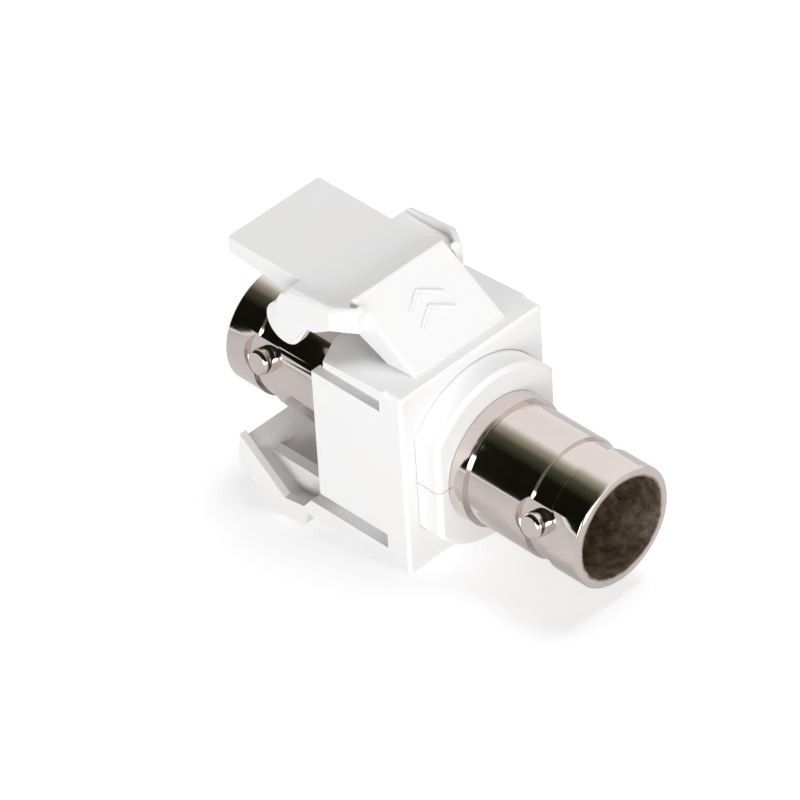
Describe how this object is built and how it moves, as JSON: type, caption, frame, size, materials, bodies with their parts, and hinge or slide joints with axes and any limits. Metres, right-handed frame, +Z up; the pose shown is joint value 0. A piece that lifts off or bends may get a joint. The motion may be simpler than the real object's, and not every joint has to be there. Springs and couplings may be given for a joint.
{
  "type": "bnc feedthrough connector",
  "caption": "Feedthrough connector with a bayonet coaxial jack at each end of a plated barrel, clamped in a white snap-in housing with a sprung latch and a fixed catch.",
  "frame": {"origin": "on the barrel's axis, in the plane of the front face of the housing's flange", "axes": "+Y runs back along the barrel through the panel, +X is to the right seen from the front, +Z is up towards the latch"},
  "size_m": [0.0144, 0.035, 0.0219],
  "materials": {
    "white_plastic": "satin moulded",
    "nickel_plate": "bright nickel plate on brass",
    "insulator": "turned, plain",
    "gold_plate": "thin gold plate on bronze"
  },
  "bodies": {
    "root": {"housing": "white_plastic", "insert_upper": "white_plastic", "insert_lower": "white_plastic", "barrel": "nickel_plate", "front_left_stud": "nickel_plate", "front_right_stud": "nickel_plate", "rear_left_stud": "nickel_plate", "rear_right_stud": "nickel_plate", "front_insulator": "insulator", "rear_insulator": "insulator", "retaining_bush": "nickel_plate", "centre_contact": "gold_plate"}
  },
  "joints": []
}
